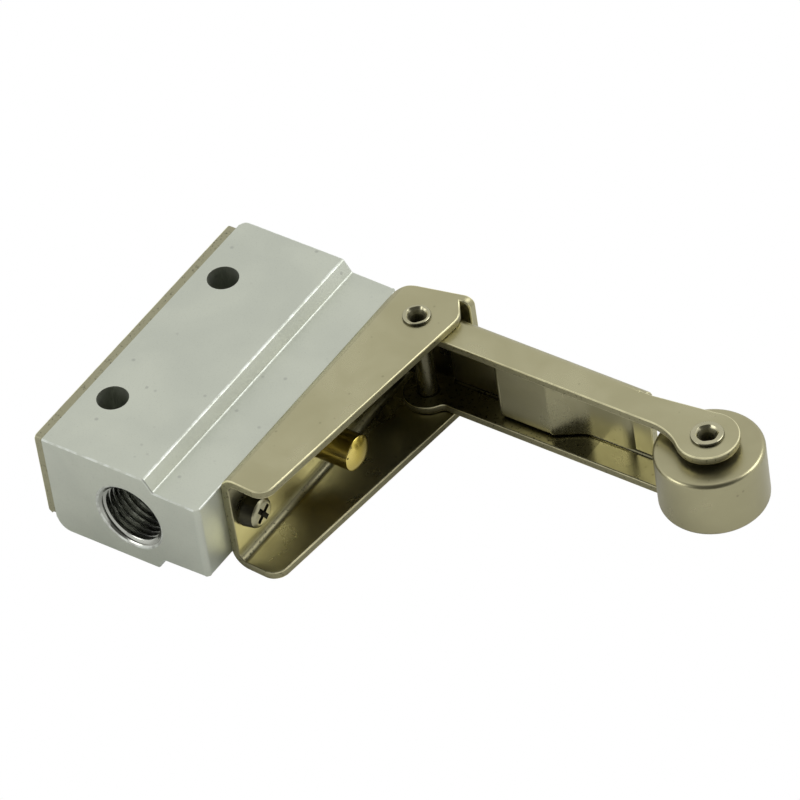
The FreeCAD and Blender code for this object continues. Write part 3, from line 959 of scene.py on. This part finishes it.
def make_rivet(node, name, grip_half, shank, bore, seed, body):
    head = size_of(node)[0] / 2
    height = size_of(node)[2] / 2 - grip_half
    profile = rivet_profile(grip_half, shank, head, bore, height)
    lip = crimped(grip_half - lip_start, head - height * 0.9, lip_depth, seed)
    middle = middle_of(node)
    rivet = turned(name, profile, middle, (0, 0, 1), 96, lip)

    def from_axis(place):
        return math.hypot(place.x - middle[0], place.y - middle[1])

    def shade_round_heads(place, normal, area):
        """Painted shade on the heads' side walls, and a little darkening on the shank."""
        if abs(place.z - middle[2]) < grip_half:
            return shank_darkening if from_axis(place) > bore + bore_wall else 0.0
        return head_side_shade if from_axis(place) > head - head_side and abs(normal.z) < 0.6 else 0.0

    def reamed(place, normal, area):
        """Rough wall of the bore."""
        return 1.0 if from_axis(place) < bore + reamed_wall and abs(normal.z) < 0.6 else 0.0

    # painted shade on the heads' sides, a little darkening on the shank
    mark_faces(rivet, "painted_shade", shade_round_heads)
    mark_faces(rivet, "cut", reamed)
    smoothed(rivet)
    return handed_over(rivet, body, [node], rivet_steel)


def cross_outline(reach, half_width):
    """Corners of a cross, as (across, aside) places."""
    arm = [(reach, -half_width), (reach, half_width), (half_width, half_width)]
    corners = []
    for _ in range(4):
        corners += arm
        arm = [(-aside, across) for across, aside in arm]
    return corners


def cross_cutter(centre, outward, across, reach, width, depth):
    """Tapered cross that is cut out of a screw head."""
    aside = Vector(outward).cross(Vector(across))
    shape = bmesh.new()
    layers = []
    for along, (arm_share, width_share) in ((recess_over, recess_open), (-depth, recess_bottom)):
        middle = Vector(centre) + Vector(outward) * along
        ring = []
        for a, b in cross_outline(reach * arm_share, width * width_share):
            ring.append(shape.verts.new(middle + Vector(across) * a + aside * b))
        layers.append(ring)
    shape.faces.new(layers[0])
    shape.faces.new(list(reversed(layers[1])))
    for corner in range(len(layers[0])):
        after = (corner + 1) % len(layers[0])
        shape.faces.new((layers[0][corner], layers[1][corner], layers[1][after], layers[0][after]))
    bmesh.ops.recalc_face_normals(shape, faces=shape.faces)
    return object_from(shape, "cross_cutter")


def cross_headed(name, profile, centre, outward, top, turn):
    """Turned screw with a cross recess in its head."""
    screw = turned(name, profile, centre, outward, 64)
    tip = Vector(centre) + Vector(outward) * top
    across = Matrix.Rotation(math.radians(turn), 3, Vector(outward)) @ Vector((0.0, 0.0, 1.0))
    cut_away(screw, cross_cutter(tip, outward, across, recess_reach, recess_width, recess_depth))

    def recess_and_side_shade(place, normal, area):
        """Painted shade on the head's side and in its recess, whose walls face the screw's axis."""
        facing = normal.dot(Vector(outward))
        deep = (tip - place).dot(Vector(outward))
        from_axis = place - tip + Vector(outward) * deep
        is_wall = from_axis.dot(normal) < -on_side
        is_floor = facing > 0.9 and abs(deep - recess_depth) < 0.1 * MM
        if is_wall or is_floor:
            return recess_shade
        return 1.0 if abs(facing) < 0.5 else 0.0

    # painted shade in the recess and on the head's side
    mark_faces(screw, "painted_shade", recess_and_side_shade)
    return smoothed(screw)


def screw_row(name, pattern, node, pitch):
    """Two copies of a screw, one mesh, in the places of the node's solids."""
    values = {"Piece": pattern, "Count": 2, "Pitch": pitch, "Middle": 0.0, "Material": screw_steel}
    row = with_tree(name, copies_in_row, values)
    bpy.data.objects.remove(pattern, do_unlink=True)
    return handed_over(row, "valve", [node], screw_steel)


def make_bracket_screws():
    low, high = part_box("bracket_screws")
    head = (high[2] - low[2]) / 2
    height = screw_head_height
    shank = bracket_screw_shank
    length = high[1] - low[1] - height
    profile = (
        [(0.0, -length), (shank - screw_tip, -length), (shank, -length + screw_tip), (shank, 0.0)]
        + [(head - 0.1 * MM, 0.0)]
        + arc(head - 0.3 * MM, 0.35 * MM, 0.3 * MM, -40, 20, 3)
        + arc(head - 1.15 * MM, height - 1.0 * MM, 1.0 * MM, 25, 78, 6)
        + [(0.0, height)]
    )
    pitch = high[0] - low[0] - 2 * head
    centre = (0.0, low[1] + height, (low[2] + high[2]) / 2)
    pattern = cross_headed("bracket_screw", profile, centre, (0.0, -1.0, 0.0), height, 32)
    return screw_row("bracket_screw_pair", pattern, "bracket_screws", pitch)


def make_cover_screws():
    low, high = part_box("cover_screws")
    head = (high[2] - low[2]) / 2
    shank = cover_screw_shank
    sink = head - shank
    length = high[1] - low[1]
    profile = [
        (0.0, -length), (shank - screw_tip, -length), (shank, -length + screw_tip), (shank, -sink),
        (head - 0.03 * MM, -0.06 * MM), (head - 0.03 * MM, -0.01 * MM), (head - 0.1 * MM, 0.0), (0.0, 0.0),
    ]
    pitch = high[0] - low[0] - 2 * head
    centre = ((low[0] + high[0]) / 2, high[1], (low[2] + high[2]) / 2)
    pattern = cross_headed("cover_screw", profile, centre, (0.0, 1.0, 0.0), 0.0, 12)
    return screw_row("cover_screw_pair", pattern, "cover_screws", pitch)


def make_plunger():
    shape = joined_solid("plunger")
    break_edges(shape, turned_edge)
    plunger = object_from(shape, "brass_plunger")
    # painted shade on the side of the plunger
    mark_faces(plunger, "painted_shade", lambda place, normal, area: plunger_side_shade if abs(normal.y) < 0.5 else 0.0)
    smoothed(plunger)
    return handed_over(plunger, "plunger", ["plunger"], plunger_brass)


# pieces inside the body

def make_inner_piece(node, body, material):
    shape = joined_solid(node)
    break_edges(shape, turned_edge)
    piece = smoothed(object_from(shape, "turned_" + node))
    return handed_over(piece, body, [node], material)


def make_seal(node):
    low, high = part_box(node)
    outer = (high[2] - low[2]) / 2
    half = (high[1] - low[1]) / 2
    section = rounded_ring_section(outer - 2 * half, outer, -half, half, half * 0.5)
    seal = turned("moulded_" + node, section, middle_of(node), (0, 1, 0), 96)
    smoothed(seal)
    return handed_over(seal, "valve", [node], seal_rubber)


def make_spring():
    low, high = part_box("return_spring")
    wire = spring_wire
    values = {
        "Coil Radius": (high[0] - low[0]) / 2 - wire,
        "Wire Radius": wire,
        "Turns": spring_turns,
        "Length": high[1] - low[1] - 2 * wire,
        "Start": ((low[0] + high[0]) / 2, high[1] - wire, (low[2] + high[2]) / 2),
        "Material": spring_steel,
    }
    spring = with_tree("coiled_spring", wound_wire, values)
    handed_over(spring, "valve", ["return_spring"], spring_steel)
    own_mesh(spring)


wound_wire = wound_wire_tree()
copies_in_row = row_tree()

make_body()
make_cover()
make_cover_screws()
make_bracket()
make_bracket_screws()
make_lever()
make_roller()
make_rivet(
    "pivot_pin", "pivot_rivet", grip_half=7.9 * MM, shank=1.35 * MM, bore=0.95 * MM, seed=2.0, body="valve",
)
make_rivet(
    "roller_pin", "roller_rivet", grip_half=6.55 * MM, shank=1.5 * MM, bore=0.95 * MM, seed=7.0, body="lever",
)
make_plunger()
make_inner_piece("plunger_clip", "plunger", spring_steel)
make_spring()
for ring_name in ("spring_cup", "inlet_spacer", "outlet_spacer", "exhaust_spacer"):
    make_inner_piece(ring_name, "valve", inner_brass)
for seal_name in ("rear_seal_ring", "middle_seal_ring", "front_seal_ring"):
    make_seal(seal_name)


# floor, light and camera

def make_floor():
    shape = bmesh.new()
    level = cad_box[0][2] - floor_gap
    corners = []
    for x, y in ((-1, -1), (1, -1), (1, 1), (-1, 1)):
        corners.append(shape.verts.new((x * floor_reach, y * floor_reach, level)))
    shape.faces.new(corners)
    floor = object_from(shape, "floor")
    material, tree, shader = new_material("pale_floor", metallic=0.0)
    fine = placed(tree, grain, Stretch=(1.0, 1.0, 1.0), Scale=60.0)
    tint = mixed(tree, fine["Height"], colour(0.80, 0.80, 0.79), colour(0.84, 0.84, 0.83))
    tree.links.new(tint, shader.inputs["Base Color"])
    shader.inputs["Roughness"].default_value = 0.9
    shader.inputs["Specular IOR Level"].default_value = 0.1
    shader.inputs["Emission Color"].default_value = colour(1.0, 1.0, 1.0)
    shader.inputs["Emission Strength"].default_value = floor_glow
    paper = tree.nodes.new("ShaderNodeEmission")
    ray = tree.nodes.new("ShaderNodeLightPath")
    seen = tree.nodes.new("ShaderNodeMixShader")
    tree.links.new(ray.outputs["Is Camera Ray"], seen.inputs[0])
    tree.links.new(shader.outputs["BSDF"], seen.inputs[1])
    tree.links.new(paper.outputs["Emission"], seen.inputs[2])
    tree.links.new(seen.outputs["Shader"], tree.nodes["Material Output"].inputs["Surface"])
    floor.data.materials.append(material)


def aimed(place, target, roll=0.0):
    """Matrix that looks from place at target along -Z."""
    turn = (target - place).to_track_quat("-Z", "Y").to_matrix()
    turn = turn @ Matrix.Rotation(roll, 3, "Z")
    return Matrix.Translation(place) @ turn.to_4x4()


def make_softbox(name, direction, size, brightness):
    """Square light a metre from the valve; brightness is what a mirror would show of it."""
    lamp = bpy.data.lights.new(name, "AREA")
    lamp.shape = "SQUARE"
    lamp.size = size
    lamp.energy = brightness * math.pi * size * size
    softbox = bpy.data.objects.new(name, lamp)
    softbox.matrix_world = aimed(Vector(direction).normalized(), camera_aim)
    bpy.context.scene.collection.objects.link(softbox)


def make_surroundings():
    """Pale studio that is darker behind the camera, as the bright metal shows it."""
    world = bpy.data.worlds.new("studio")
    world.use_nodes = True
    tree = world.node_tree
    background = tree.nodes["Background"]
    direction = tree.nodes.new("ShaderNodeTexCoord").outputs["Generated"]
    towards = add(tree, "ShaderNodeVectorMath", {"operation": "DOT_PRODUCT"})
    tree.links.new(direction, towards.inputs[0])
    towards.inputs[1].default_value = (camera_place - camera_aim).normalized()
    dark = ramp(tree, towards.outputs["Value"], dark_from, dark_at)
    tint = mixed(tree, dark, colour(1.0, 1.0, 0.98), colour(0.12, 0.12, 0.11))
    tree.links.new(tint, background.inputs["Color"])
    background.inputs["Strength"].default_value = sky_strength
    bpy.context.scene.world = world


def make_camera():
    lens = bpy.data.cameras.new("camera")
    lens.lens = camera_lens
    lens.sensor_width = 36.0
    lens.sensor_fit = "HORIZONTAL"
    camera = bpy.data.objects.new("camera", lens)
    camera.matrix_world = aimed(camera_place, camera_aim, camera_roll)
    bpy.context.scene.collection.objects.link(camera)
    bpy.context.scene.camera = camera


make_floor()
make_surroundings()
make_softbox("right_light", direction=(0.55, -0.47, 0.69), size=0.55, brightness=3.2)
make_softbox("back_left_light", direction=(-0.69, 0.47, 0.55), size=0.5, brightness=2.5)
make_camera()
bpy.context.scene.view_settings.view_transform = "Standard"
